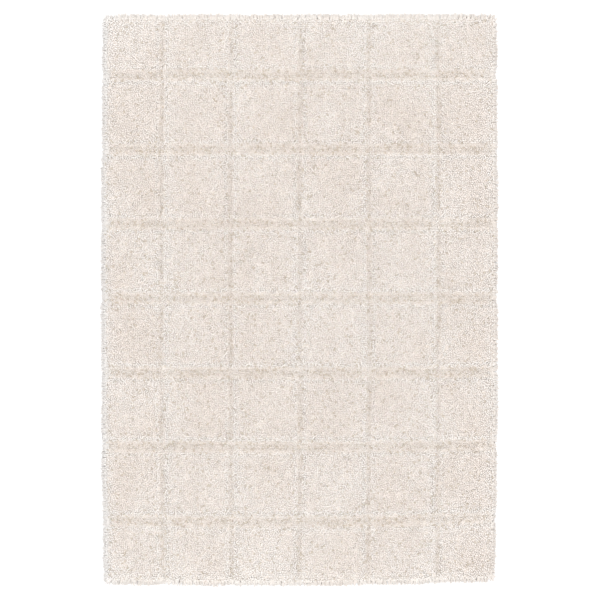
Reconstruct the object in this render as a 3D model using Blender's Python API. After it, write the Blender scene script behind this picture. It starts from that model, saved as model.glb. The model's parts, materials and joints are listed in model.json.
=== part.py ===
"""A shag rug whose pile is carved into a grid of blocks.

X runs across the rug and Y along it, +Z is up, and the origin is on the floor under the rug's middle.
The rug is one piece of cloth: a ground weave with deep pile, shorter in the grooves of the grid, that leans out in
locks at the rim.
"""

import math
import random
from collections import namedtuple

import bmesh
import bpy
from mathutils import Vector, noise

# Driving dimensions, in metres.
WIDTH = 1.600  # across, from lock tip to lock tip
LENGTH = 2.300  # along, from lock tip to lock tip
WEAVE = 0.003  # ground weave with its coated back
PILE = 0.029  # usual pile above the weave in the middle of a block
REACH = 0.018  # how far the pile at the rim leans out past the weave

# The grid of grooves, one row for each direction that it is counted in. cut_steps and block_steps say how many
# faces cross a groove and a block, and notch how far the outline dips where a groove of this row ends.
Grid = namedtuple("Grid", "size grooves pitch middle groove_width groove_pile cut_steps block_steps notch")
ACROSS = Grid(WIDTH, 5, 0.279, 0.001, 0.022, 0.018, 2, 6, 0.003)
ALONG = Grid(LENGTH, 7, 0.300, 0.007, 0.036, 0.016, 3, 6, 0.005)

# How far each corner is drawn in from a true rectangle, because the cloth was never cut quite square.
Corner = namedtuple("Corner", "side_x side_y in_x in_y")
CORNERS = (
    Corner(-1, +1, 0.007, 0.002),
    Corner(+1, +1, 0.004, 0.000),
    Corner(-1, -1, 0.010, 0.006),
    Corner(+1, -1, 0.013, 0.020),
)

# The lie of the pile.
SHOULDER = 0.0020  # how much the pile sinks where a block nears a groove
SHOULDER_WIDTH = 0.045
RIM_WIDTH = 0.022  # the strip at the rim where the pile bends outwards
RIM_SHARE = 0.62  # the height left at the very edge, as a share of the pile
RIM_WAVE = 0.0022  # how far the outline wanders
RIM_POWER = 8  # how quickly the outline's waves die away inwards
NOTCH_WIDTH = 0.028  # of the outline's dip at a groove's end
Lump = namedtuple("Lump", "spacing rise sway")  # rise is a share of the pile under it
LUMPS = (Lump(0.110, 0.13, 0.008), Lump(0.027, 0.34, 0.004))
WAVE = Lump(0.090, 0, 0)  # of the outline

# The locks at the rim, as shares of their own length or of their root's size.
LOCK_LENGTH = (0.60, 1.10)
LOCK_TIP_WIDTH = (0.22, 0.42)
LOCK_TIP_HEIGHT = 0.34
LOCK_SWAY = 0.16
LOCK_TIP_LOW, LOCK_TIP_HIGH = 0.0045, 0.0125  # where a tip hangs above the floor
FAN_RADIUS = 0.050  # locks turn towards a corner within this distance of it
SEED = 11

PILE_COLOUR = (0.80, 0.73, 0.66, 1.0)
PILE_ROUGHNESS = 0.95
SHARP_ANGLE = math.radians(40)


def lines(grid):
    """The middle line of each groove."""
    return [grid.middle + (k - (grid.grooves - 1) / 2) * grid.pitch for k in range(grid.grooves)]


def stations(grid):
    """Where the faces are divided, side to side: evenly over each block, closer at the rim and over grooves."""
    edge = grid.size / 2 - REACH
    found = [-edge, RIM_WIDTH - edge]
    for line in lines(grid):
        found += between(found[-1], line - grid.groove_width / 2, grid.block_steps)
        found += between(found[-1], line + grid.groove_width / 2, grid.cut_steps)
    found += between(found[-1], edge - RIM_WIDTH, grid.block_steps)
    return found + [edge]


def between(start, end, steps):
    return [start + (end - start) * (k + 1) / steps for k in range(steps)]


def nearest(grid, place):
    """The distance from the middle of the closest groove."""
    return min(abs(place - line) for line in lines(grid))


def sunk(grid, place):
    """How far the pile lies under full height: a flat-floored groove with a soft shoulder on each side."""
    away = nearest(grid, place)
    cut = (PILE - grid.groove_pile) * math.exp(-((2 * away / grid.groove_width) ** 4))
    return cut + SHOULDER * math.exp(-((away / SHOULDER_WIDTH) ** 2))


def rough(x, y, lump, channel):
    """A smooth unevenness of -1 to 1, another one for each channel."""
    return noise.noise(Vector((x / lump.spacing, y / lump.spacing, 10.0 * channel)))


def height(x, y, from_edge):
    """The top of the pile above the floor."""
    pile = PILE - max(sunk(ACROSS, x), sunk(ALONG, y))
    pile *= 1 + sum(lump.rise * rough(x, y, lump, 1) for lump in LUMPS)
    rise = math.sin(math.pi / 2 * min(from_edge / RIM_WIDTH, 1.0))
    return WEAVE + pile * (RIM_SHARE + (1 - RIM_SHARE) * rise)


def notched(grid, place):
    """How far the outline dips in beside the end of a groove."""
    return grid.notch * math.exp(-((nearest(grid, place) / NOTCH_WIDTH) ** 2))


def outline_shift(x, y):
    """How far the cloth's true outline and lie move a point of the plain rectangle."""
    u, v = 2 * x / WIDTH, 2 * y / LENGTH
    shift_x = shift_y = 0.0
    for corner in CORNERS:
        by_x, by_y = max(0.0, u * corner.side_x), max(0.0, v * corner.side_y)
        shift_x -= corner.side_x * corner.in_x * by_x * by_y**2
        shift_y -= corner.side_y * corner.in_y * by_y * by_x**2
    rim_x = RIM_WAVE * rough(x, y, WAVE, 2) - notched(ALONG, y)
    rim_y = RIM_WAVE * rough(x, y, WAVE, 3) - notched(ACROSS, x)
    shift_x += math.copysign(abs(u) ** RIM_POWER, u) * rim_x
    shift_y += math.copysign(abs(v) ** RIM_POWER, v) * rim_y
    return Vector((shift_x, shift_y, 0))


def pile_surface(bm):
    """The top of the rug: a grid of faces set out on the blocks and grooves, raised to the pile's height."""
    xs, ys = stations(ACROSS), stations(ALONG)
    steps_x, steps_y = len(xs) - 1, len(ys) - 1
    bmesh.ops.create_grid(bm, x_segments=steps_x, y_segments=steps_y, size=0.5)
    for vert in bm.verts:
        x = xs[round((vert.co.x + 0.5) * steps_x)]
        y = ys[round((vert.co.y + 0.5) * steps_y)]
        from_edge = min(xs[-1] - abs(x), ys[-1] - abs(y))
        place = Vector((x, y, height(x, y, from_edge))) + outline_shift(x, y)
        if from_edge > RIM_WIDTH:
            for lump in LUMPS:
                place.x += lump.sway * rough(x, y, lump, 4)
                place.y += lump.sway * rough(x, y, lump, 5)
        vert.co = place


def wall_down(bm, rim, level):
    """Extrudes a loop of edges down to a level. Returns its new edges and faces."""
    new = bmesh.ops.extrude_edge_only(bm, edges=rim)["geom"]
    for vert in (v for v in new if isinstance(v, bmesh.types.BMVert)):
        vert.co.z = level
    edges = [e for e in new if isinstance(e, bmesh.types.BMEdge)]
    faces = [f for f in new if isinstance(f, bmesh.types.BMFace)]
    return edges, faces


def outward(place):
    """Straight out from the nearest side, and diagonally out near a corner."""
    inner_x, inner_y = WIDTH / 2 - REACH - FAN_RADIUS, LENGTH / 2 - REACH - FAN_RADIUS
    core = Vector((min(max(place.x, -inner_x), inner_x), min(max(place.y, -inner_y), inner_y), place.z))
    return (place - core).normalized()


def grow_locks(bm, roots):
    """Draws each face of the pile's wall out into a tapering, drooping lock with four sides."""
    chance = random.Random(SEED)
    for face in bmesh.ops.extrude_discrete_faces(bm, faces=roots)["faces"]:
        root = face.calc_center_median()
        out = outward(root)
        side = Vector((-out.y, out.x, 0))
        tip = root + out * REACH * chance.uniform(*LOCK_LENGTH)
        width = max(abs((vert.co - root).dot(side)) for vert in face.verts)
        tip += side * width * chance.uniform(-LOCK_SWAY, LOCK_SWAY)
        tip.z = chance.uniform(LOCK_TIP_LOW, LOCK_TIP_HIGH)
        narrow = chance.uniform(*LOCK_TIP_WIDTH)
        for vert in face.verts:
            from_root = vert.co - root
            vert.co = tip + side * from_root.dot(side) * narrow
            vert.co.z += from_root.z * LOCK_TIP_HEIGHT


def draw_to_size(bm):
    """Centres the rug on the origin and stretches it, by a few millimetres, to its width and length."""
    for axis, size in ((0, WIDTH), (1, LENGTH)):
        places = [vert.co[axis] for vert in bm.verts]
        low, high = min(places), max(places)
        for vert in bm.verts:
            vert.co[axis] = (vert.co[axis] - (low + high) / 2) * size / (high - low)


def pile_material():
    material = bpy.data.materials.new("pile_yarn")
    material.use_nodes = True
    shader = material.node_tree.nodes["Principled BSDF"]
    shader.inputs["Base Color"].default_value = PILE_COLOUR
    shader.inputs["Roughness"].default_value = PILE_ROUGHNESS
    shader.inputs["Metallic"].default_value = 0.0
    return material


def build_rug(collection):
    """One closed body: the pile's top, its wall of locks, the weave's edge and the flat underside."""
    bm = bmesh.new()
    pile_surface(bm)
    rim = [edge for edge in bm.edges if edge.is_boundary]
    weave_rim, roots = wall_down(bm, rim, WEAVE)
    floor_rim, _ = wall_down(bm, weave_rim, 0.0)
    underside = bmesh.ops.contextual_create(bm, geom=floor_rim)["faces"]
    bmesh.ops.recalc_face_normals(bm, faces=bm.faces)
    grow_locks(bm, roots)
    draw_to_size(bm)
    bmesh.ops.triangulate(bm, faces=underside)
    mesh = bpy.data.meshes.new("rug")
    bm.to_mesh(mesh)
    bm.free()
    mesh.shade_smooth()
    mesh.set_sharp_from_angle(angle=SHARP_ANGLE)
    mesh.materials.append(pile_material())
    rug = bpy.data.objects.new("rug", mesh)
    collection.objects.link(rug)
    return rug


def main():
    for obj in list(bpy.data.objects):
        bpy.data.objects.remove(obj, do_unlink=True)
    collection = bpy.data.collections.new("shag_rug")
    bpy.context.scene.collection.children.link(collection)
    build_rug(collection)


main()
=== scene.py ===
"""Dresses a shag rug whose pile is carved into a grid of blocks: its ground weave, its bed of dense yarn,
the tufts that curl over it and those that lean out at its rim, with the floor, light and camera to look at
it from above.

X runs across the rug and Y along it, +Z is up, and the origin is on the floor under the rug's middle.
"""

import json
import math
from collections import namedtuple

import bpy
import numpy as np
from bpy.props import FloatProperty, FloatVectorProperty, IntProperty, PointerProperty
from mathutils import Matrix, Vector

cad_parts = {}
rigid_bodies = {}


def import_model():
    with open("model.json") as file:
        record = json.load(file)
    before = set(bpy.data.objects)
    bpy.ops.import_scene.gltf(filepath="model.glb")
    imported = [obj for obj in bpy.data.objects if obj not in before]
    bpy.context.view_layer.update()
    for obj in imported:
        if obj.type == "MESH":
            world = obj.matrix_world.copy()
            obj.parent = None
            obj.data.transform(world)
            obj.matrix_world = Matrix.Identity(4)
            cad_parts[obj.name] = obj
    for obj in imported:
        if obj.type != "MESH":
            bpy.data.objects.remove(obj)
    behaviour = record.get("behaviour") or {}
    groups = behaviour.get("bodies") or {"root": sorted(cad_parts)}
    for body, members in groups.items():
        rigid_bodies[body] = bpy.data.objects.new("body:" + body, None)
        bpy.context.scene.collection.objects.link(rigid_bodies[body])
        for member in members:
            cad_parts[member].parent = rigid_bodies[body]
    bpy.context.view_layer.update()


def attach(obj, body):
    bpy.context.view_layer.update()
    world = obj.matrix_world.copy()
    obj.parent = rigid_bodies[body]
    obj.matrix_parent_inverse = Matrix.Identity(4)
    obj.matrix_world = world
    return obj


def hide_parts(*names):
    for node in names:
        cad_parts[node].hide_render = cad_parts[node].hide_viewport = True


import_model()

bl_info = {
    "name": "Carved shag rug",
    "version": (1, 0, 0),
    "blender": (4, 5, 0),
    "location": "3D View > Sidebar > Rug",
    "description": "Lays the ground weave and tufts the pile of a rug that is carved into a grid of blocks",
    "category": "Object",
}

NODE = "rug"  # the solid that all the pieces stand for
BODY = "root"

# The rug's form, as its solid has it.
WIDTH = 1.600  # across, from tip to tip of the pile
LENGTH = 2.300  # along
WEAVE = 0.003  # ground weave with its coated back
REACH = 0.018  # how far the pile at the rim leans out past the weave
HALF_X, HALF_Y = WIDTH / 2 - REACH, LENGTH / 2 - REACH  # half the weave's size
FAN_RADIUS = 0.050  # the tufts turn towards a corner within this distance of it
RIM_WIDTH = 0.022  # the strip at the rim where the pile bends outwards
RIM_SHARE = 0.62  # the height left at the very edge, as a share of the pile
RIM_WAVE = 0.0022  # how far the outline wanders
RIM_POWER = 8  # how quickly the outline's waves die away inwards
NOTCH_WIDTH = 0.028  # of the outline's dip at a groove's end
SHOULDER = 0.0020  # how much the pile sinks where a block nears a groove
SHOULDER_WIDTH = 0.045
GROOVE_POWER = 4  # how flat a groove's floor is
SHALLOWEST = 0.25  # the depth that the bed keeps at least, as a share of the pile's

# The grid of grooves, one row for each direction that it is counted in. They are shallower than the solid's,
# and the cross ones wider, because the tufts beside a groove lean into it. wander is how far a groove strays
# from its line, and notch how far the outline dips where a groove of this row ends.
Grid = namedtuple("Grid", "size grooves pitch middle groove_width groove_pile wander notch")
ACROSS = Grid(WIDTH, 5, 0.279, 0.001, 0.022, 0.0225, 0.003, 0.003)
ALONG = Grid(LENGTH, 7, 0.300, 0.007, 0.048, 0.0180, 0.004, 0.005)

# How far each corner is drawn in from a true rectangle, because the cloth was never cut quite square.
Corner = namedtuple("Corner", "side_x side_y in_x in_y")
CORNERS = (
    Corner(-1, +1, 0.007, 0.002),
    Corner(+1, +1, 0.004, 0.000),
    Corner(-1, -1, 0.010, 0.006),
    Corner(+1, -1, 0.013, 0.020),
)

# Unevenness: the size of its patches, how strong it is and the seed of its random values.
Patch = namedtuple("Patch", "spacing strength seed")
LUMP = Patch(0.110, 0.04, 21)  # a share of the pile's height
SWEEPS = (Patch(0.160, 0.8, 31), Patch(0.050, 0.5, 32))  # radians by which the lie of the pile turns
TINTS = (Patch(0.120, 0.28, 41), Patch(0.055, 0.18, 42))  # shares of the range of colours
WAVE_X, WAVE_Y = Patch(0.090, 1.0, 51), Patch(0.090, 1.0, 52)  # of the outline
STRAY_X, STRAY_Y = Patch(0.200, 1.0, 53), Patch(0.200, 1.0, 54)  # of the grooves' lines
LATTICE_REACH = 1.5  # how far from the rug's middle their values are laid out

# Where the yarn's colour lies between beige, 0, and white, 1.
USUAL_TINT = 0.44
TINT_SPREAD = 0.14  # how far single tufts stray from those round them
STREAK = 1.5  # how much longer the patches are along the rug than across it
END_LIGHT, END_POWER = 0.30, 6  # painted light: how much paler the rug's ends are, and how quickly that fades inwards
END_LEAN = 0.6  # how much more it is so at the left than at the right
EDGE_LIGHT = 0.4  # painted light: how much paler the outermost tufts of the field are
EDGE_WIDTH, EDGE_POWER = 0.055, 1.5  # how far in that reaches, and how quickly it fades

# The painted light on the strip beside a groove, on the side that looks out of the rug, and the painted
# shade on
# the strip on the other side: how much paler the first is, how much darker the second is as a share of that,
# how far from the groove's middle they are, how wide, and where across the rug they change sides.
Flank = namedtuple("Flank", "pale dark away width turn")
LIT_FLANK_ACROSS = Flank(0.65, 0.15, 0.0, 0.050, 0.0)
LIT_FLANK_ALONG = Flank(1.2, 0.0, 0.029, 0.010, 0.15)

# Painted light on the strip just past each edge of a groove, on both sides: how much paler it is, how far
# past it and how wide.
LIP_LIGHT, LIP_AWAY, LIP_WIDTH = 0.38, 0.008, 0.008

# How grey the rim's tufts are, and how much painted shade they have, where they look left, and where they
# look any other way.
LEFT_GREY, OTHER_GREY = 0.77, 0.20
OTHER_SHADE = 0.20
EDGE_GREY, EDGE_SHADE = 0.8, 0.12  # the same, grey and painted shade, of the outermost tufts of the field
GREY_POWER = 3  # how much quicker than their paleness these fade

# Tufts darkened with painted shade, for shadowed pits in the pile: how many there are, how many more of them
# on a groove's floor, and how dark they are.
SHADOWED_SHARE, SHADOWED_IN_GROOVE = 0.05, 0.17
SHADOW_DEPTH = (0.5, 1.0)
GROOVE_SHADE = 0.13  # how far the others on a groove's floor are darkened: partly the grooves' yellower tone, partly painted shade

# The form of a tuft.
SIDES = 3  # of its cross-section
CREST = 0.62  # how far along it is highest
BEND_POWER = 1.6  # how much later it leans out than it rises
GIRTH = (0.85, 1.15)  # its width, as a share of the yarn's
FIELD_TAPER = (1.0, 1.2, 0.2)  # its width at root, middle and tip, as shares
RIM_TAPER = (1.0, 1.0, 0.55)

# The lie of the field's tufts.
STRAY = 1.5  # radians by which their headings differ
EDGE_STRAY = 0.5  # the same of those that lean outwards, near the rim
TURN = 1.2  # radians that one turns through at most
RUN = (0.6, 1.35)  # how far one leans, as a share of the usual
SET_BACK = 0.5  # how far a root lies back from the tuft's place, as a share of the tuft's run
CHORD = 0.6  # how far past the heading the tip lies from the root, as a share of the turn
CREST_STRAY = (-0.0012, 0.0005)  # how far the crests lie from the pile's height
SAG = (0.0002, 0.0020)  # how far the tips hang below the crests
ROOT_DEPTH = 0.002  # how far the roots are sunk in the bed

# How the field's tufts are spread: pushed apart from the eight next to each, in a few rounds, wherever two
# of them are closer than REST steps.
NEIGHBOURS = ((0, 1), (0, -1), (1, 0), (-1, 0), (1, 1), (1, -1), (-1, 1), (-1, -1))
REST = 0.95
ROUNDS = 3
PUSH = 0.5  # the share of the push that is made in each round

# The lie of the rim's tufts. Their level is 0 at the foot of the tiers and 1 at their top.
RIM_THROW = 0.4  # how far one is thrown along the rim, as a share of the spacing
LEVEL_SPREAD = (0.2, 0.8)  # where in its tier's height one stands
RIM_STRAY = 0.30  # radians by which their headings differ
RIM_TURN = 0.5  # radians that one turns through at most
INSET = 0.005  # how far in from the weave's edge the roots are at level 0
INSET_MORE = 0.012  # how much further in they are at level 1
RIM_RUN = (0.78, 1.42)  # how far one leans out, as a share of the reach
END_REACH = 0.26  # how much further those at the rug's ends lean out
TOP_SHORTER = 0.35  # how much less far they lean out at level 1
RIM_ROOT = 0.001  # how far above the weave the roots are at level 0
UNDER_TOP = 0.0025  # how much less than the pile's depth they rise from there to level 1
RIM_CREST = 0.003  # how far the crests are above the roots
TIP_HEIGHT = 0.0035  # how far above the floor a tip would be that hung all the way
RIM_SAG = (0.40, 0.75)  # what share of the way the tips hang

# The faces of the bed and the weave.
SEAT = 0.0002  # between the weave and the bed on it
RIM_STEPS = 2  # faces across the rim's strip
BED_CUT_STEPS = 3  # faces of the bed across a groove
WEAVE_CUT_STEPS, WEAVE_BLOCK_STEPS = 1, 6  # faces of the weave across a groove and a block
SHARP_ANGLE = math.radians(40)

# The cell that each tuft has in its map: what is left free beside its sides and under and over them, and
# where the corners of its two ends lie.
CELL_BESIDE, CELL_OVER = 0.04, 0.16
CELL_ENDS = np.array([[[0.1, 0.02], [0.9, 0.02], [0.5, 0.13]], [[0.1, 0.98], [0.9, 0.98], [0.5, 0.87]]])

TUFT_SEED, RIM_SEED = 61, 62
TINY = 1e-6  # the least that a length is divided by


# Form of the pile


def groove_lines(grid):
    """The middle line of each groove: evenly pitched about the grid's middle."""
    return grid.middle + (np.arange(grid.grooves) - (grid.grooves - 1) / 2) * grid.pitch


def nearest(grid, place):
    """The distance from each place to the closest groove's middle line."""
    return np.abs(place[..., None] - groove_lines(grid)).min(axis=-1)


def from_edge(x, y):
    """How far in from the weave's nearest edge each place is."""
    return np.minimum(HALF_X - np.abs(x), HALF_Y - np.abs(y))


def drift(x, y, patch):
    """A smooth unevenness of -1 to 1: random values on a square lattice of the patch's spacing, eased from
    one lattice point to the next by the curve 3t^2 - 2t^3 in both directions."""
    half = int(LATTICE_REACH / patch.spacing) + 2
    lattice = np.random.default_rng(patch.seed).uniform(-1, 1, (2 * half, 2 * half))
    u, v = x / patch.spacing + half, y / patch.spacing + half
    column, row = np.floor(u).astype(int), np.floor(v).astype(int)
    u, v = u - column, v - row
    u, v = u * u * (3 - 2 * u), v * v * (3 - 2 * v)
    low = lattice[row, column] * (1 - u) + lattice[row, column + 1] * u
    high = lattice[row + 1, column] * (1 - u) + lattice[row + 1, column + 1] * u
    return low * (1 - v) + high * v


def sunk(grid, place, pile):
    """How far the pile lies under full height: a flat-floored groove, exp(-(2d/width)^4), and a soft
    shoulder on each side, exp(-(d/width)^2), where d is the distance from the groove's middle."""
    away = nearest(grid, place)
    cut = (pile - grid.groove_pile) * np.exp(-((2 * away / grid.groove_width) ** GROOVE_POWER))
    return cut + SHOULDER * np.exp(-((away / SHOULDER_WIDTH) ** 2))


def cut_depth(x, y, pile):
    """How far the pile lies under full height at each place: the deeper of the two grooves near it, each of
    which strays a little from its line."""
    across = sunk(ACROSS, x + ACROSS.wander * drift(x, y, STRAY_X), pile)
    along = sunk(ALONG, y + ALONG.wander * drift(x, y, STRAY_Y), pile)
    return np.maximum(across, along)


def groove_share(x, y, pile):
    """How far each place is sunk in a groove, from 0 on a block to 1 on the floor of the deepest groove."""
    return np.clip((cut_depth(x, y, pile) - SHOULDER) / (pile - ALONG.groove_pile), 0, 1)


def pile_height(x, y, pile):
    """The pile's depth above the weave: the full pile less the cut, made uneven by the lumps, and lowered
    towards the rim by a quarter of a sine wave."""
    depth = pile - cut_depth(x, y, pile)
    depth = depth * (1 + LUMP.strength * drift(x, y, LUMP))
    rise = np.sin(math.pi / 2 * np.clip(from_edge(x, y) / RIM_WIDTH, 0, 1))
    return depth * (RIM_SHARE + (1 - RIM_SHARE) * rise)


def bed_height(x, y, sizes):
    """The height of the dense yarn above the weave: the pile's less the depth of the tufts' curls, and never
    under SHALLOWEST of the pile's."""
    depth = pile_height(x, y, sizes.pile)
    return np.maximum(depth - sizes.curl_depth, depth * SHALLOWEST)


def drawn_in(x, y):
    """Moves points of the plain rectangle to the cloth's true outline. Each corner is drawn in with the
    product of the nearness to its two sides, one of them squared. The rim also wanders by a drift and dips
    at each groove's end, and both die away inwards with the eighth power of the distance from the middle."""
    u, v = 2 * x / WIDTH, 2 * y / LENGTH
    shift_x, shift_y = np.zeros_like(x), np.zeros_like(y)
    for corner in CORNERS:
        by_x, by_y = np.maximum(0, u * corner.side_x), np.maximum(0, v * corner.side_y)
        shift_x -= corner.side_x * corner.in_x * by_x * by_y**2
        shift_y -= corner.side_y * corner.in_y * by_y * by_x**2
    dip_x = ALONG.notch * np.exp(-((nearest(ALONG, y) / NOTCH_WIDTH) ** 2))
    dip_y = ACROSS.notch * np.exp(-((nearest(ACROSS, x) / NOTCH_WIDTH) ** 2))
    shift_x += np.sign(u) * np.abs(u) ** RIM_POWER * (RIM_WAVE * drift(x, y, WAVE_X) - dip_x)
    shift_y += np.sign(v) * np.abs(v) ** RIM_POWER * (RIM_WAVE * drift(x, y, WAVE_Y) - dip_y)
    return x + shift_x, y + shift_y


def outward(x, y):
    """The direction out of the rug at each place of its rim: away from the nearest point of a rectangle that
    is smaller by the fan's radius, so it turns evenly round each corner."""
    inner_x, inner_y = HALF_X - FAN_RADIUS, HALF_Y - FAN_RADIUS
    away_x = x - np.clip(x, -inner_x, inner_x)
    away_y = y - np.clip(y, -inner_y, inner_y)
    return np.arctan2(away_y, away_x)


# Colour of the pile


def painted_flank_light(grid, place, flank):
    """How much paler or darker the pile is beside a groove, as painted light and shade: a bell
    exp(-((d - away)/width)^2), where d is the distance from the groove's middle, that is positive, painted
    light, on the side that looks out of the rug, negative and weaker, painted shade, on the side that looks
    in, and stronger the further the groove is from where the strips change sides."""
    lines = groove_lines(grid)
    line = lines[np.abs(place[..., None] - lines).argmin(axis=-1)]
    away = place - line
    looks_out = -np.clip(away / (grid.groove_width / 2), -1, 1) * (line - flank.turn) / (grid.size / 2)
    looks_out = np.where(looks_out > 0, looks_out, flank.dark * looks_out)
    return flank.pale * looks_out * np.exp(-(((np.abs(away) - flank.away) / flank.width) ** 2))


def painted_lip_light(grid, place):
    """Painted light past the edges of a groove, as how much paler the pile is there: a bell
    exp(-(d/width)^2) on each side, where d is the distance from the bell's middle."""
    away = nearest(grid, place) - grid.groove_width / 2 - LIP_AWAY
    return LIP_LIGHT * np.exp(-((away / LIP_WIDTH) ** 2))


def paleness(x, y):
    """Where the yarn's colour lies between beige, 0, and white, 1: the usual tint with long patches, and
    painted light that makes it paler towards the rug's ends, at the edges of the grooves and on the flanks
    of the blocks that look outwards, with painted shade on the flanks that look inwards."""
    patches = sum(patch.strength * drift(x, y / STREAK, patch) for patch in TINTS)
    # Painted light at the rug's ends, on the flanks that look out and past the grooves' edges, and painted
    # shade on the flanks that look in.
    ends = END_LIGHT * np.abs(2 * y / LENGTH) ** END_POWER * (1 - END_LEAN * 2 * x / WIDTH)
    flanks = painted_flank_light(ACROSS, x, LIT_FLANK_ACROSS) + painted_flank_light(ALONG, y, LIT_FLANK_ALONG)
    return USUAL_TINT + patches + ends + flanks + painted_lip_light(ACROSS, x) + painted_lip_light(ALONG, y)


def left_share(x, y):
    """How far each place of the rim looks left, from 0 to 1: the cosine of the angle from there."""
    return np.clip(-np.cos(outward(x, y)), 0, 1)


# Meshes


def new_piece(name, points, faces, material):
    """Makes an object from an array of points and a list of arrays of faces, one array for each number of
    corners."""
    mesh = bpy.data.meshes.new(name)
    corners = np.concatenate([part.ravel() for part in faces])
    sizes = np.concatenate([np.full(len(part), part.shape[1]) for part in faces])
    starts = np.concatenate([[0], np.cumsum(sizes)[:-1]])
    mesh.vertices.add(len(points))
    mesh.vertices.foreach_set("co", points.astype(np.float32).ravel())
    mesh.loops.add(len(corners))
    mesh.loops.foreach_set("vertex_index", corners.astype(np.int32))
    mesh.polygons.add(len(sizes))
    mesh.polygons.foreach_set("loop_start", starts.astype(np.int32))
    mesh.polygons.foreach_set("use_smooth", np.full(len(sizes), True))
    mesh.update(calc_edges=True)
    mesh.validate()
    mesh.materials.append(material)
    piece = bpy.data.objects.new(name, mesh)
    bpy.context.scene.collection.objects.link(piece)
    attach(piece, BODY)
    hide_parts(NODE)
    return piece


def add_map(mesh, name, places):
    """Adds a UV map with one place for each corner of a face."""
    layer = mesh.uv_layers.new(name=name, do_init=False)
    layer.uv.foreach_set("vector", places.astype(np.float32).ravel())


def add_values(mesh, name, values):
    """Adds an attribute with one number for each point."""
    attribute = mesh.attributes.new(name, "FLOAT", "POINT")
    attribute.data.foreach_set("value", values.astype(np.float32).ravel())


def stations(grid, cut_steps, block_steps):
    """Where the faces are divided, side to side: evenly over each block, each groove and each rim."""
    edge = grid.size / 2 - REACH
    stops, steps = [-edge, RIM_WIDTH - edge], [RIM_STEPS]
    for line in groove_lines(grid):
        stops += [line - grid.groove_width / 2, line + grid.groove_width / 2]
        steps += [block_steps, cut_steps]
    stops += [edge - RIM_WIDTH, edge]
    steps += [block_steps, RIM_STEPS]
    pieces = [np.linspace(low, high, n, endpoint=False) for low, high, n in zip(stops, stops[1:], steps)]
    return np.concatenate([*pieces, [edge]])


def slab(xs, ys, top, bottom):
    """A closed slab over a grid of stations: its top is a function of x and y, its bottom one level face,
    and a row of upright faces joins them all round. Returns its points and faces."""
    x, y = np.meshgrid(xs, ys)
    place = np.arange(x.size).reshape(len(ys), len(xs))
    a, b, c, d = place[:-1, :-1], place[:-1, 1:], place[1:, 1:], place[1:, :-1]
    up = np.stack([a, b, c, d], axis=-1).reshape(-1, 4)
    upper = np.stack([*drawn_in(x, y), top(x, y)], axis=-1).reshape(-1, 3)
    rim = np.concatenate([place[0, :-1], place[:-1, -1], place[-1, :0:-1], place[:0:-1, 0]])
    lower = upper[rim] * (1, 1, 0) + (0, 0, bottom)
    below = x.size + np.arange(len(rim))
    wall = np.stack([rim, below, np.roll(below, -1), np.roll(rim, -1)], axis=-1)
    return np.concatenate([upper, lower]), [np.concatenate([up, wall]), below[None, ::-1]]


# Each tuft is a row of these arrays. It rises from its root, bends over at its crest and ends at its tip.
# heading is the direction it leans in, run how far it leans, turn the angle that it curls through, sag how
# far its tip hangs below its crest, tint where its colour lies between beige and white, shade how much
# painted shade darkens it, and grey how far its colour is the rim's.
Tufts = namedtuple("Tufts", "x y root top heading run turn sag radius tint shade grey")


def pick(tufts, chosen):
    """The tufts chosen, in an array of true and false."""
    return Tufts(*(values[chosen] for values in tufts))


def joined(parts):
    """All the tufts of several parts."""
    return Tufts(*(np.concatenate(values) for values in zip(*parts)))


def tuft_lines(tufts, steps):
    """The middle line of each tuft, t = 0 at its root and 1 at its tip: it goes out by run * t^BEND_POWER
    along a heading that turns evenly, it rises as a quarter of a sine wave until t = CREST, and then it sags
    with the square of what is left."""
    t = np.linspace(0, 1, steps)[None, :]
    heading = tufts.heading[:, None] + tufts.turn[:, None] * t
    out = tufts.run[:, None] * t**BEND_POWER
    rise = np.sin(math.pi / 2 * np.minimum(t / CREST, 1))
    beyond = np.maximum(t - CREST, 0) / (1 - CREST)
    x = tufts.x[:, None] + out * np.cos(heading)
    y = tufts.y[:, None] + out * np.sin(heading)
    z = tufts.root[:, None] + (tufts.top - tufts.root)[:, None] * rise - tufts.sag[:, None] * beyond**2
    return np.stack([x, y, z], axis=-1)


def sweep(tufts, taper):
    """Carries a section of SIDES corners along each tuft's middle line, its radius times the taper at each
    step. Returns the points, shaped tuft, step, corner."""
    lines = tuft_lines(tufts, len(taper))
    along = np.gradient(lines, axis=1)
    along /= np.linalg.norm(along, axis=-1, keepdims=True)
    side = np.stack([-along[..., 1], along[..., 0], np.zeros(along.shape[:-1])], axis=-1)
    side /= np.maximum(np.linalg.norm(side, axis=-1, keepdims=True), TINY)
    above = np.cross(along, side)
    turn = np.arange(SIDES) * 2 * math.pi / SIDES + math.pi / 2
    radius = tufts.radius[:, None, None, None] * np.asarray(taper)[None, :, None, None]
    ring = np.cos(turn)[:, None] * side[:, :, None, :] + np.sin(turn)[:, None] * above[:, :, None, :]
    return lines[:, :, None, :] + radius * ring


def tuft_faces(count, steps):
    """The faces of count swept tufts: four-cornered sides, and a three-cornered end at each root and tip."""
    place = np.arange(count * steps * SIDES).reshape(count, steps, SIDES)
    low, high = place[:, :-1], place[:, 1:]
    sides = np.stack([low, np.roll(low, -1, axis=2), np.roll(high, -1, axis=2), high], axis=-1)
    ends = np.stack([place[:, 0, ::-1], place[:, -1]], axis=1)
    return sides.reshape(-1, 4), ends.reshape(-1, SIDES)


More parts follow.
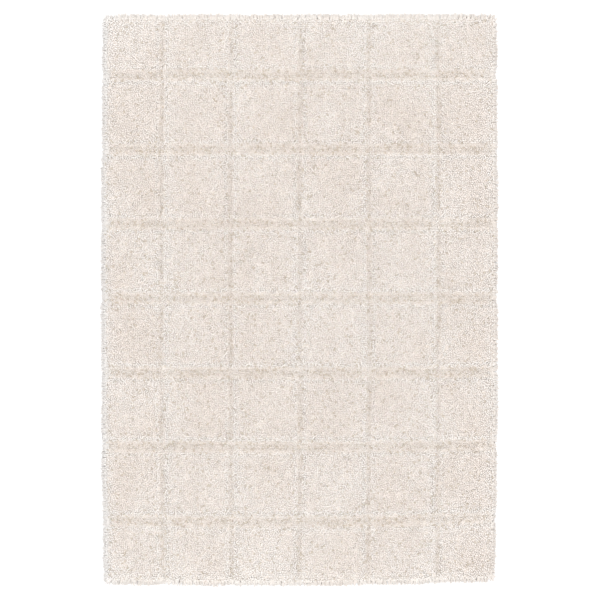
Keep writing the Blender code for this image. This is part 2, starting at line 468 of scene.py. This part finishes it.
def cell_maps(count, steps):
    """Two maps for the corners of swept tufts. In the first each tuft has a square cell of its own, the
    sides next to each other in it and the two ends under and over them. In the second u goes once round the
    tuft and v along it."""
    across = math.ceil(math.sqrt(count))
    cell = np.arange(count)
    corner = np.stack([cell % across, cell // across], axis=-1)[:, None, None, None, :]
    step, side = np.meshgrid(np.arange(steps - 1), np.arange(SIDES), indexing="ij")
    u = np.stack([side, side + 1, side + 1, side], axis=-1) / SIDES
    v = np.stack([step, step, step + 1, step + 1], axis=-1) / (steps - 1)
    inside_u = CELL_BESIDE + (1 - 2 * CELL_BESIDE) * u
    inside_v = CELL_OVER + (1 - 2 * CELL_OVER) * v
    sides = (corner + np.stack([inside_u, inside_v], axis=-1)[None]) / across
    ends = (corner[:, 0] + CELL_ENDS[None]) / across
    ply = np.broadcast_to(np.stack([u, v], axis=-1), (count, *u.shape, 2))
    ply_ends = np.broadcast_to(np.array([[0.0, 0.0], [1.0, 1.0]])[:, None], (count, 2, SIDES, 2))
    cells = np.concatenate([sides.reshape(-1, 2), ends.reshape(-1, 2)])
    return cells, np.concatenate([ply.reshape(-1, 2), ply_ends.reshape(-1, 2)])


def tuft_piece(name, tufts, taper, material):
    """Makes one object of all the tufts given."""
    count, steps = len(tufts.x), len(taper)
    points = sweep(tufts, taper).reshape(-1, 3)
    sides, ends = tuft_faces(count, steps)
    piece = new_piece(name, points, [sides, ends], material)
    cells, ply = cell_maps(count, steps)
    add_map(piece.data, "OFBake", cells)
    add_map(piece.data, "ply", ply)
    share = np.broadcast_to(np.linspace(0, 1, steps)[None, :, None], (count, steps, SIDES))
    add_values(piece.data, "along", share)
    for value in ("tint", "shade", "grey"):
        add_values(piece.data, value, np.repeat(getattr(tufts, value), steps * SIDES))
    return piece


# Layout of the tufts


def spread(xs, ys, spacing, chance):
    """Places that are evenly spread but in no rows: a grid whose points are thrown up to half a step each
    way, and then pushed apart from their eight neighbours, in a few rounds, wherever two of them are closer
    than REST steps."""
    place = np.stack(np.meshgrid(xs, ys), axis=-1)
    place = place + chance.uniform(-0.5, 0.5, place.shape) * spacing
    for _ in range(ROUNDS):
        push = np.zeros_like(place)
        for step in NEIGHBOURS:
            away = place - np.roll(place, step, axis=(0, 1))
            far = np.linalg.norm(away, axis=-1, keepdims=True)
            push += away / np.maximum(far, TINY) * np.maximum(REST * spacing - far, 0) / 2
        place = place + PUSH * push
    return place[..., 0].ravel(), place[..., 1].ravel()


def on_weave(x, y):
    """Brings places that lie past the weave's edge back to it."""
    return np.clip(x, -HALF_X, HALF_X), np.clip(y, -HALF_Y, HALF_Y)


def radii(sizes, count, chance):
    """The radius of each tuft's section, a triangle whose sides are as wide as the yarn."""
    return sizes.tuft_width / math.sqrt(3) * chance.uniform(*GIRTH, count)


def field_tufts(sizes):
    """Sets out the tufts of the whole field: evenly spread, their crests at the pile's height, and each set
    back by half its run, so that its middle lies on its place. They lean in a drifting direction from which
    each one strays, but the nearer to the rim, the more of them lean outwards. Returns them and the number
    of the column of blocks that each is in."""
    chance = np.random.default_rng(TUFT_SEED)
    xs = np.arange(-HALF_X, HALF_X, sizes.tuft_spacing) + sizes.tuft_spacing / 2
    ys = np.arange(-HALF_Y, HALF_Y, sizes.tuft_spacing) + sizes.tuft_spacing / 2
    x, y = spread(xs, ys, sizes.tuft_spacing, chance)
    count = len(x)
    x, y = on_weave(x, y)
    depth = pile_height(x, y, sizes.pile)
    inwards = from_edge(x, y)
    pull = np.clip(1 - inwards / RIM_WIDTH, 0, 1)
    heading = sum(patch.strength * drift(x, y, patch) for patch in SWEEPS)
    heading = heading + chance.normal(0, STRAY, count)
    rim_heading = outward(x, y) + chance.normal(0, EDGE_STRAY, count)
    heading = np.where(chance.uniform(0, 1, count) < pull, rim_heading, heading)
    run = sizes.tuft_run * chance.uniform(*RUN, count)
    turn = chance.uniform(-TURN, TURN, count)
    back = SET_BACK * run * (1 - pull)
    chord = heading + CHORD * turn
    x, y = on_weave(x - back * np.cos(chord), y - back * np.sin(chord))
    top = WEAVE + depth + chance.uniform(*CREST_STRAY, count)
    root = WEAVE + bed_height(x, y, sizes) - ROOT_DEPTH
    sag = chance.uniform(*SAG, count)
    radius = radii(sizes, count, chance)
    # Painted light: the tufts nearest the rim are made paler.
    edge = np.clip(1 - inwards / EDGE_WIDTH, 0, 1) ** EDGE_POWER
    tint = np.clip(paleness(x, y) + chance.normal(0, TINT_SPREAD, count) + EDGE_LIGHT * edge, 0, 1)
    groove = groove_share(x, y, sizes.pile)
    # Painted shade: some tufts, more of them on a groove's floor, are darkened as shadowed pits.
    dark = chance.uniform(0, 1, count) < SHADOWED_SHARE + SHADOWED_IN_GROOVE * groove
    left = left_share(x, y)
    # Painted shade, with the grooves' yellower tone, on a groove's floor, and painted shade on the field's
    # outermost tufts that look any way but left.
    shaded = GROOVE_SHADE * groove + EDGE_SHADE * (1 - left) * edge**GREY_POWER
    shade = np.where(dark, chance.uniform(*SHADOW_DEPTH, count), shaded)
    grey = EDGE_GREY * edge**GREY_POWER * (left + OTHER_GREY * (1 - left))
    column = np.searchsorted(groove_lines(ACROSS), x)
    x, y = drawn_in(x, y)
    return Tufts(x, y, root, top, heading, run, turn, sag, radius, tint, shade, grey), column


def rim_tier(sizes, tier, chance):
    """Sets out one tier of the tufts that lean out past the weave, evenly all the way round it. The roots
    lie further in, the higher they are, and the tips hang part of the way down to the floor."""
    round_it = 4 * (HALF_X + HALF_Y)
    count = int(round_it / sizes.rim_spacing)
    s = (np.arange(count) + chance.uniform(-RIM_THROW, RIM_THROW, count)) * round_it / count
    stops = [0, 2 * HALF_X, 2 * HALF_X + 2 * HALF_Y, 4 * HALF_X + 2 * HALF_Y, round_it]
    x = np.interp(s, stops, [-HALF_X, HALF_X, HALF_X, -HALF_X, -HALF_X])
    y = np.interp(s, stops, [-HALF_Y, -HALF_Y, HALF_Y, HALF_Y, -HALF_Y])
    level = (tier + chance.uniform(*LEVEL_SPREAD, count)) / sizes.rim_tiers
    depth = pile_height(x, y, sizes.pile)
    heading = outward(x, y) + chance.normal(0, RIM_STRAY, count)
    inset = INSET + INSET_MORE * level
    long = chance.uniform(*RIM_RUN, count) + END_REACH * np.abs(np.sin(heading))
    run = inset + REACH * long * (1 - TOP_SHORTER * level)
    x, y = x - inset * np.cos(outward(x, y)), y - inset * np.sin(outward(x, y))
    root = WEAVE + RIM_ROOT + (depth - UNDER_TOP) * level
    top = root + RIM_CREST
    sag = (top - TIP_HEIGHT) * chance.uniform(*RIM_SAG, count)
    turn = chance.uniform(-RIM_TURN, RIM_TURN, count)
    radius = radii(sizes, count, chance)
    tint = np.clip(paleness(x, y) + chance.normal(0, TINT_SPREAD, count), 0, 1)
    left = left_share(x, y)
    # Painted shade on the rim's tufts, except where they look left.
    shade = OTHER_SHADE * (1 - left)
    grey = LEFT_GREY * left + OTHER_GREY * (1 - left)
    x, y = drawn_in(x, y)
    return Tufts(x, y, root, top, heading, run, turn, sag, radius, tint, shade, grey)


def rim_tufts(sizes):
    """Sets out the tufts of the rim, in tiers one over another."""
    chance = np.random.default_rng(RIM_SEED)
    return joined([rim_tier(sizes, tier, chance) for tier in range(sizes.rim_tiers)])


# Materials

PLIES = 2  # of the yarn, as ridges round it
PLY_TURNS = 3.0  # how many times a ply winds round its tuft
ROOT_FADE = 0.6  # how far along a tuft the painted shade of its root reaches
GREY_MOST = 0.75  # how much of the rim's colour the greyest tufts have
HEAD_SCALE = 150.0  # heads of the bed's yarn to a metre
THREAD_SCALE = 60.0  # how fine the weave's threads are


def new_node(tree, kind, place, **values):
    """Adds a node at a place on the sheet, and sets the properties named."""
    made = tree.nodes.new(kind)
    made.location = place
    for name, value in values.items():
        setattr(made, name, value)
    return made


def fibre_group():
    """The fine grain that the yarn's fibres give, on Object coordinates, as a normal."""
    if "fibre_grain" in bpy.data.node_groups:
        return bpy.data.node_groups["fibre_grain"]
    tree = bpy.data.node_groups.new("fibre_grain", "ShaderNodeTree")
    for name, start in (("Scale", 900.0), ("Depth", 0.0004)):
        socket = tree.interface.new_socket(name, in_out="INPUT", socket_type="NodeSocketFloat")
        socket.default_value = start
    tree.interface.new_socket("Normal", in_out="OUTPUT", socket_type="NodeSocketVector")
    given = new_node(tree, "NodeGroupInput", (-700, 0))
    coordinates = new_node(tree, "ShaderNodeTexCoord", (-700, -200))
    noise = new_node(tree, "ShaderNodeTexNoise", (-450, 0))
    noise.inputs["Detail"].default_value = 2.0
    noise.inputs["Roughness"].default_value = 0.6
    bump = new_node(tree, "ShaderNodeBump", (-150, -150))
    bump.inputs["Strength"].default_value = 0.6
    out = new_node(tree, "NodeGroupOutput", (100, 0))
    tree.links.new(coordinates.outputs["Object"], noise.inputs["Vector"])
    tree.links.new(given.outputs["Scale"], noise.inputs["Scale"])
    tree.links.new(given.outputs["Depth"], bump.inputs["Distance"])
    tree.links.new(noise.outputs["Fac"], bump.inputs["Height"])
    tree.links.new(bump.outputs["Normal"], out.inputs["Normal"])
    return tree


def new_material(name, roughness, sheen):
    """A material with a Principled BSDF, and the shader's own numbers set on it."""
    material = bpy.data.materials.new(name)
    material.use_nodes = True
    shader = material.node_tree.nodes["Principled BSDF"]
    shader.inputs["Roughness"].default_value = roughness
    shader.inputs["Sheen Weight"].default_value = sheen
    shader.inputs["Sheen Roughness"].default_value = 0.45
    shader.inputs["Specular IOR Level"].default_value = 0.25
    return material, material.node_tree, shader


def mixed(tree, place, kind="MIX"):
    """A node that mixes two colours."""
    return new_node(tree, "ShaderNodeMix", place, data_type="RGBA", blend_type=kind)


def tinted(tree, colours):
    """A ramp from the darkest to the lightest yarn."""
    ramp = new_node(tree, "ShaderNodeValToRGB", (-500, 250))
    ramp.color_ramp.elements[0].color = (*colours.beige, 1)
    ramp.color_ramp.elements[1].color = (*colours.white, 1)
    middle = ramp.color_ramp.elements.new(0.5)
    middle.color = (*colours.cream, 1)
    return ramp


def yarn_material(colours):
    """The tufts' yarn: its tint, its greyness and its painted shade from each tuft's own numbers, darker and
    warmer at the root as painted shade, with a fine grain and the ridges of its twisted plies."""
    material, tree, shader = new_material("tufted_yarn", 0.85, 0.25)
    tint = new_node(tree, "ShaderNodeAttribute", (-750, 250), attribute_name="tint")
    along = new_node(tree, "ShaderNodeAttribute", (-750, 0), attribute_name="along")
    ramp = tinted(tree, colours)
    tree.links.new(tint.outputs["Fac"], ramp.inputs["Fac"])
    fade = new_node(tree, "ShaderNodeMapRange", (-500, 0), interpolation_type="SMOOTHSTEP")
    fade.inputs["From Max"].default_value = ROOT_FADE
    tree.links.new(along.outputs["Fac"], fade.inputs["Value"])
    # Painted shade: the root's darker colour fades into the tint along the first part of each tuft.
    root = mixed(tree, (-200, 200))
    root.inputs["A"].default_value = (*colours.root, 1)
    tree.links.new(fade.outputs["Result"], root.inputs["Factor"])
    tree.links.new(ramp.outputs["Color"], root.inputs["B"])
    grey = new_node(tree, "ShaderNodeAttribute", (-200, 450), attribute_name="grey")
    greyed = mixed(tree, (0, 300))
    greyed.inputs["B"].default_value = (*colours.rim, 1)
    weight = new_node(tree, "ShaderNodeMath", (0, 500), operation="MULTIPLY")
    weight.inputs[1].default_value = GREY_MOST
    tree.links.new(grey.outputs["Fac"], weight.inputs[0])
    tree.links.new(weight.outputs["Value"], greyed.inputs["Factor"])
    tree.links.new(root.outputs["Result"], greyed.inputs["A"])
    # Painted shade: each tuft's colour is multiplied towards the shade colour by its shade value.
    shade = new_node(tree, "ShaderNodeAttribute", (200, 450), attribute_name="shade")
    shaded = mixed(tree, (350, 300), "MULTIPLY")
    shaded.inputs["B"].default_value = (*colours.shade, 1)
    tree.links.new(shade.outputs["Fac"], shaded.inputs["Factor"])
    tree.links.new(greyed.outputs["Result"], shaded.inputs["A"])
    tree.links.new(shaded.outputs["Result"], shader.inputs["Base Color"])
    grain = new_node(tree, "ShaderNodeGroup", (-500, -250), node_tree=fibre_group())
    ply = new_node(tree, "ShaderNodeUVMap", (-1000, -450), uv_map="ply")
    split = new_node(tree, "ShaderNodeSeparateXYZ", (-800, -450))
    tree.links.new(ply.outputs["UV"], split.inputs["Vector"])
    slant = new_node(tree, "ShaderNodeMath", (-650, -450), operation="MULTIPLY_ADD")
    slant.inputs[1].default_value = PLY_TURNS
    tree.links.new(split.outputs["Y"], slant.inputs[0])
    tree.links.new(split.outputs["X"], slant.inputs[2])
    turns = new_node(tree, "ShaderNodeMath", (-500, -450), operation="MULTIPLY")
    turns.inputs[1].default_value = PLIES * 2 * math.pi
    tree.links.new(slant.outputs["Value"], turns.inputs[0])
    ridge = new_node(tree, "ShaderNodeMath", (-350, -450), operation="SINE")
    tree.links.new(turns.outputs["Value"], ridge.inputs[0])
    bump = new_node(tree, "ShaderNodeBump", (-200, -350))
    bump.inputs["Strength"].default_value = 0.5
    bump.inputs["Distance"].default_value = 0.0004
    tree.links.new(ridge.outputs["Value"], bump.inputs["Height"])
    tree.links.new(grain.outputs["Normal"], bump.inputs["Normal"])
    tree.links.new(bump.outputs["Normal"], shader.inputs["Normal"])
    return material


def bed_material(colours):
    """The dense yarn under the tufts' curls: round heads of lower tufts, deeper in colour between them as
    painted shade.
    """
    material, tree, shader = new_material("dense_yarn", 0.9, 0.15)
    coordinates = new_node(tree, "ShaderNodeTexCoord", (-900, 0))
    heads = new_node(tree, "ShaderNodeTexVoronoi", (-700, 100))
    heads.inputs["Scale"].default_value = HEAD_SCALE
    tree.links.new(coordinates.outputs["Object"], heads.inputs["Vector"])
    # Painted shade: the bed darkens towards the root's colour between the heads.
    colour = mixed(tree, (-200, 200))
    colour.inputs["A"].default_value = (*colours.cream, 1)
    colour.inputs["B"].default_value = (*colours.root, 1)
    tree.links.new(heads.outputs["Distance"], colour.inputs["Factor"])
    tree.links.new(colour.outputs["Result"], shader.inputs["Base Color"])
    grain = new_node(tree, "ShaderNodeGroup", (-700, -250), node_tree=fibre_group())
    bump = new_node(tree, "ShaderNodeBump", (-200, -200), invert=True)
    bump.inputs["Strength"].default_value = 0.8
    bump.inputs["Distance"].default_value = 0.003
    tree.links.new(heads.outputs["Distance"], bump.inputs["Height"])
    tree.links.new(grain.outputs["Normal"], bump.inputs["Normal"])
    tree.links.new(bump.outputs["Normal"], shader.inputs["Normal"])
    return material


def weave_material(colours):
    """The ground cloth's coated back: a plain weave of flat threads, as two waves at right angles."""
    material, tree, shader = new_material("coated_weave", 0.8, 0.0)
    coordinates = new_node(tree, "ShaderNodeTexCoord", (-1100, 0))
    threads = []
    for direction, height in (("X", 200), ("Y", -100)):
        wave = new_node(tree, "ShaderNodeTexWave", (-850, height), bands_direction=direction)
        wave.inputs["Scale"].default_value = THREAD_SCALE
        wave.inputs["Distortion"].default_value = 0.6
        wave.inputs["Detail"].default_value = 1.0
        wave.inputs["Detail Scale"].default_value = 4.0
        tree.links.new(coordinates.outputs["Object"], wave.inputs["Vector"])
        threads.append(wave)
    crossing = new_node(tree, "ShaderNodeMath", (-600, 50), operation="MULTIPLY")
    for wave, socket in zip(threads, crossing.inputs):
        tree.links.new(wave.outputs["Fac"], socket)
    colour = mixed(tree, (-300, 200))
    colour.inputs["A"].default_value = (*colours.thread, 1)
    colour.inputs["B"].default_value = (*colours.coating, 1)
    tree.links.new(crossing.outputs["Value"], colour.inputs["Factor"])
    tree.links.new(colour.outputs["Result"], shader.inputs["Base Color"])
    grain = new_node(tree, "ShaderNodeGroup", (-600, -250), node_tree=fibre_group())
    grain.inputs["Scale"].default_value = 500.0
    bump = new_node(tree, "ShaderNodeBump", (-300, -200))
    bump.inputs["Strength"].default_value = 0.5
    bump.inputs["Distance"].default_value = 0.0008
    tree.links.new(crossing.outputs["Value"], bump.inputs["Height"])
    tree.links.new(grain.outputs["Normal"], bump.inputs["Normal"])
    tree.links.new(bump.outputs["Normal"], shader.inputs["Normal"])
    return material


# The stage

# Four soft boxes stand round the rug and look at its middle, the stronger two at its ends, so each rim is
# lit a little more from outside.
Softbox = namedtuple("Softbox", "name x y z power")
SOFTBOXES = (
    Softbox("softbox_head", 0.0, 2.8, 1.8, 17.0),
    Softbox("softbox_foot", 0.0, -2.8, 1.8, 17.0),
    Softbox("softbox_left", -2.4, 0.0, 1.8, 9.5),
    Softbox("softbox_right", 2.4, 0.0, 1.8, 9.2),
)
SOFTBOX_LENGTH, SOFTBOX_HEIGHT = 2.4, 1.0
SKY = 1.26  # strength of the even light from all round
FLOOR_HALF = 20.0  # half the floor's size
FLOOR_HEIGHT = -0.0005  # just under the weave
LENS, SENSOR = 135.0, 36.0  # millimetres
EYE_X = 0.002  # how far to the right of the rug's middle the camera stands
FARTHEST = 100.0  # that the camera sees


def lay_floor(scene, colours):
    """A wide level floor."""
    corners = np.array([(-1, -1, 0), (1, -1, 0), (1, 1, 0), (-1, 1, 0)]) * FLOOR_HALF
    mesh = bpy.data.meshes.new("floor")
    mesh.from_pydata([(x, y, FLOOR_HEIGHT) for x, y, _ in corners], [], [(0, 1, 2, 3)])
    floor = bpy.data.objects.new("floor", mesh)
    scene.collection.objects.link(floor)
    material, _, shader = new_material("studio_floor", 0.9, 0.0)
    shader.inputs["Base Color"].default_value = (*colours.floor, 1)
    shader.inputs["Specular IOR Level"].default_value = 0.0
    mesh.materials.append(material)


def light_studio(scene):
    """An even white sky and the soft boxes."""
    world = bpy.data.worlds.new("studio")
    world.use_nodes = True
    world.node_tree.nodes["Background"].inputs["Color"].default_value = (1.0, 1.0, 1.0, 1)
    world.node_tree.nodes["Background"].inputs["Strength"].default_value = SKY
    scene.world = world
    for box in SOFTBOXES:
        data = bpy.data.lights.new(box.name, "AREA")
        data.shape = "RECTANGLE"
        data.size, data.size_y = SOFTBOX_LENGTH, SOFTBOX_HEIGHT
        data.energy = box.power
        light = bpy.data.objects.new(box.name, data)
        light.location = (box.x, box.y, box.z)
        light.rotation_euler = Vector((box.x, box.y, box.z)).to_track_quat("Z", "Y").to_euler()
        light.visible_camera = False
        scene.collection.objects.link(light)


def set_camera(scene, sizes):
    """The camera straight above the rug, and how its picture is shown."""
    lens = bpy.data.cameras.new("overhead")
    lens.lens = LENS
    lens.sensor_width = SENSOR
    lens.clip_end = FARTHEST
    camera = bpy.data.objects.new("overhead", lens)
    camera.location = (EYE_X, 0.0, sizes.eye_distance)
    scene.collection.objects.link(camera)
    scene.camera = camera
    scene.view_settings.view_transform = "Standard"
    scene.cycles.denoising_prefilter = "NONE"


# What a user may change


class RugSizes(bpy.types.PropertyGroup):
    pile: FloatProperty(
        name="Pile",
        description="Depth of the pile above the weave in the middle of a block",
        default=0.029,
        min=0.005,
        max=0.060,
        unit="LENGTH",
    )
    curl_depth: FloatProperty(
        name="Curl depth",
        description="How deep the gaps between the tufts' curls are, down to the dense yarn under them",
        default=0.0036,
        min=0.001,
        max=0.030,
        unit="LENGTH",
    )
    bed_step: FloatProperty(
        name="Bed step",
        description="Size of a face of the bed",
        default=0.020,
        min=0.008,
        max=0.050,
        unit="LENGTH",
    )
    tuft_spacing: FloatProperty(
        name="Tuft spacing",
        description="Distance from one tuft of the field to the next",
        default=0.0076,
        min=0.006,
        max=0.030,
        unit="LENGTH",
    )
    tuft_width: FloatProperty(
        name="Tuft width",
        description="Width of the yarn",
        default=0.0068,
        min=0.001,
        max=0.015,
        unit="LENGTH",
    )
    tuft_run: FloatProperty(
        name="Tuft run",
        description="How far a tuft leans over from its root",
        default=0.0084,
        min=0.0,
        max=0.040,
        unit="LENGTH",
    )
    rim_spacing: FloatProperty(
        name="Rim spacing",
        description="Distance from one tuft to the next in a tier at the rim",
        default=0.0055,
        min=0.003,
        max=0.030,
        unit="LENGTH",
    )
    rim_tiers: IntProperty(
        name="Rim tiers",
        description="How many tiers of tufts lean out at the rim",
        default=4,
        min=1,
        max=5,
    )
    eye_distance: FloatProperty(
        name="Camera height",
        description="How far above the rug the camera is",
        default=9.09,
        min=1.0,
        max=30.0,
        unit="LENGTH",
    )


class RugColours(bpy.types.PropertyGroup):
    white: FloatVectorProperty(
        name="White yarn",
        description="The lightest tufts, a slightly pink white",
        subtype="COLOR",
        size=3,
        min=0.0,
        max=1.0,
        default=(0.925, 0.883, 0.851),
    )
    cream: FloatVectorProperty(
        name="Cream yarn",
        description="Most of the tufts",
        subtype="COLOR",
        size=3,
        min=0.0,
        max=1.0,
        default=(0.900, 0.839, 0.797),
    )
    beige: FloatVectorProperty(
        name="Beige yarn",
        description="The darkest tufts",
        subtype="COLOR",
        size=3,
        min=0.0,
        max=1.0,
        default=(0.877, 0.801, 0.746),
    )
    # Painted shade: the darker, warmer colour of the yarn deep in the pile, at the tufts' roots and between
    # the bed's heads.
    root: FloatVectorProperty(
        name="Roots",
        description="The yarn deep in the pile",
        subtype="COLOR",
        size=3,
        min=0.0,
        max=1.0,
        default=(0.70, 0.635, 0.57),
    )
    rim: FloatVectorProperty(
        name="Rim yarn",
        description="The greyer tufts at the rug's edge",
        subtype="COLOR",
        size=3,
        min=0.0,
        max=1.0,
        default=(0.765, 0.755, 0.743),
    )
    # Painted shade: the colour that the shaded tufts, the grooves' floors and the rim are multiplied
    # towards.
    shade: FloatVectorProperty(
        name="Shade",
        description="What the colour of the darkest tufts is multiplied by, and in part of others",
        subtype="COLOR",
        size=3,
        min=0.0,
        max=1.0,
        default=(0.75, 0.705, 0.62),
    )
    thread: FloatVectorProperty(
        name="Backing thread",
        description="Threads of the ground cloth",
        subtype="COLOR",
        size=3,
        min=0.0,
        max=1.0,
        default=(0.52, 0.45, 0.36),
    )
    coating: FloatVectorProperty(
        name="Backing coat",
        description="The coat that locks the tufts into the ground cloth",
        subtype="COLOR",
        size=3,
        min=0.0,
        max=1.0,
        default=(0.70, 0.65, 0.56),
    )
    floor: FloatVectorProperty(
        name="Floor",
        description="The studio floor",
        subtype="COLOR",
        size=3,
        min=0.0,
        max=1.0,
        default=(0.95, 0.95, 0.95),
    )


# Operators, one for each piece or group of like pieces


class RUG_OT_pile_bed(bpy.types.Operator):
    """Lay the dense yarn that fills the pile under the tufts' curls"""

    bl_idname = "rug.pile_bed"
    bl_label = "Pile bed"

    def execute(self, context):
        sizes, colours = context.scene.rug_sizes, context.scene.rug_colours
        xs = stations(ACROSS, BED_CUT_STEPS, round(ACROSS.pitch / sizes.bed_step))
        ys = stations(ALONG, BED_CUT_STEPS, round(ALONG.pitch / sizes.bed_step))

        def top(x, y):
            return WEAVE + bed_height(x, y, sizes)

        points, faces = slab(xs, ys, top, WEAVE + SEAT)
        new_piece("pile_bed", points, faces, bed_material(colours))
        return {"FINISHED"}


class RUG_OT_pile_columns(bpy.types.Operator):
    """Tuft the field of the rug, one piece for each column of blocks"""

    bl_idname = "rug.pile_columns"
    bl_label = "Pile columns"

    def execute(self, context):
        sizes, colours = context.scene.rug_sizes, context.scene.rug_colours
        material = yarn_material(colours)
        tufts, column = field_tufts(sizes)
        for number in range(ACROSS.grooves + 1):
            chosen = pick(tufts, column == number)
            tuft_piece(f"pile_column_{number + 1}", chosen, FIELD_TAPER, material)
        return {"FINISHED"}


class RUG_OT_pile_rim(bpy.types.Operator):
    """Tuft the rim, where the pile leans out past the weave and hides its edge"""

    bl_idname = "rug.pile_rim"
    bl_label = "Pile rim"

    def execute(self, context):
        sizes = context.scene.rug_sizes
        material = bpy.data.materials.get("tufted_yarn")
        if material is None:
            raise RuntimeError("tuft the columns before the rim, which takes their yarn")
        tuft_piece("pile_rim", rim_tufts(sizes), RIM_TAPER, material)
        return {"FINISHED"}


class RUG_OT_ground_weave(bpy.types.Operator):
    bl_idname = "rug.ground_weave"
    bl_label = "Ground weave"

    def execute(self, context):
        colours = context.scene.rug_colours
        xs = stations(ACROSS, WEAVE_CUT_STEPS, WEAVE_BLOCK_STEPS)
        ys = stations(ALONG, WEAVE_CUT_STEPS, WEAVE_BLOCK_STEPS)

        def top(x, y):
            return np.full_like(x, WEAVE)

        points, faces = slab(xs, ys, top, 0.0)
        weave = new_piece("ground_weave", points, faces, weave_material(colours))
        weave.data.set_sharp_from_angle(angle=SHARP_ANGLE)
        pile = [o for o in bpy.data.objects if o.name.startswith("pile_")]
        return {"FINISHED"}


class RUG_OT_stage(bpy.types.Operator):
    """Set up the floor, the soft studio light and the camera straight above the rug"""

    bl_idname = "rug.stage"
    bl_label = "Stage"

    def execute(self, context):
        scene = context.scene
        lay_floor(scene, scene.rug_colours)
        light_studio(scene)
        set_camera(scene, scene.rug_sizes)
        return {"FINISHED"}


class RUG_PT_panel(bpy.types.Panel):
    """The rug's pieces and what may be changed on them"""

    bl_idname = "RUG_PT_panel"
    bl_label = "Carved shag rug"
    bl_space_type = "VIEW_3D"
    bl_region_type = "UI"
    bl_category = "Rug"

    def draw(self, context):
        layout = self.layout
        for operator in OPERATORS:
            layout.operator(operator.bl_idname)
        for group in (context.scene.rug_sizes, context.scene.rug_colours):
            box = layout.box()
            for name in group.__annotations__:
                box.prop(group, name)


OPERATORS = (RUG_OT_pile_bed, RUG_OT_pile_columns, RUG_OT_pile_rim, RUG_OT_ground_weave, RUG_OT_stage)
CLASSES = (RugSizes, RugColours, *OPERATORS, RUG_PT_panel)


def register():
    for each in CLASSES:
        bpy.utils.register_class(each)
    bpy.types.Scene.rug_sizes = PointerProperty(type=RugSizes)
    bpy.types.Scene.rug_colours = PointerProperty(type=RugColours)


def unregister():
    del bpy.types.Scene.rug_colours
    del bpy.types.Scene.rug_sizes
    for each in reversed(CLASSES):
        bpy.utils.unregister_class(each)


def main():
    register()
    bpy.ops.rug.pile_bed()
    bpy.ops.rug.pile_columns()
    bpy.ops.rug.pile_rim()
    bpy.ops.rug.ground_weave()
    bpy.ops.rug.stage()


if __name__ == "__main__":
    main()
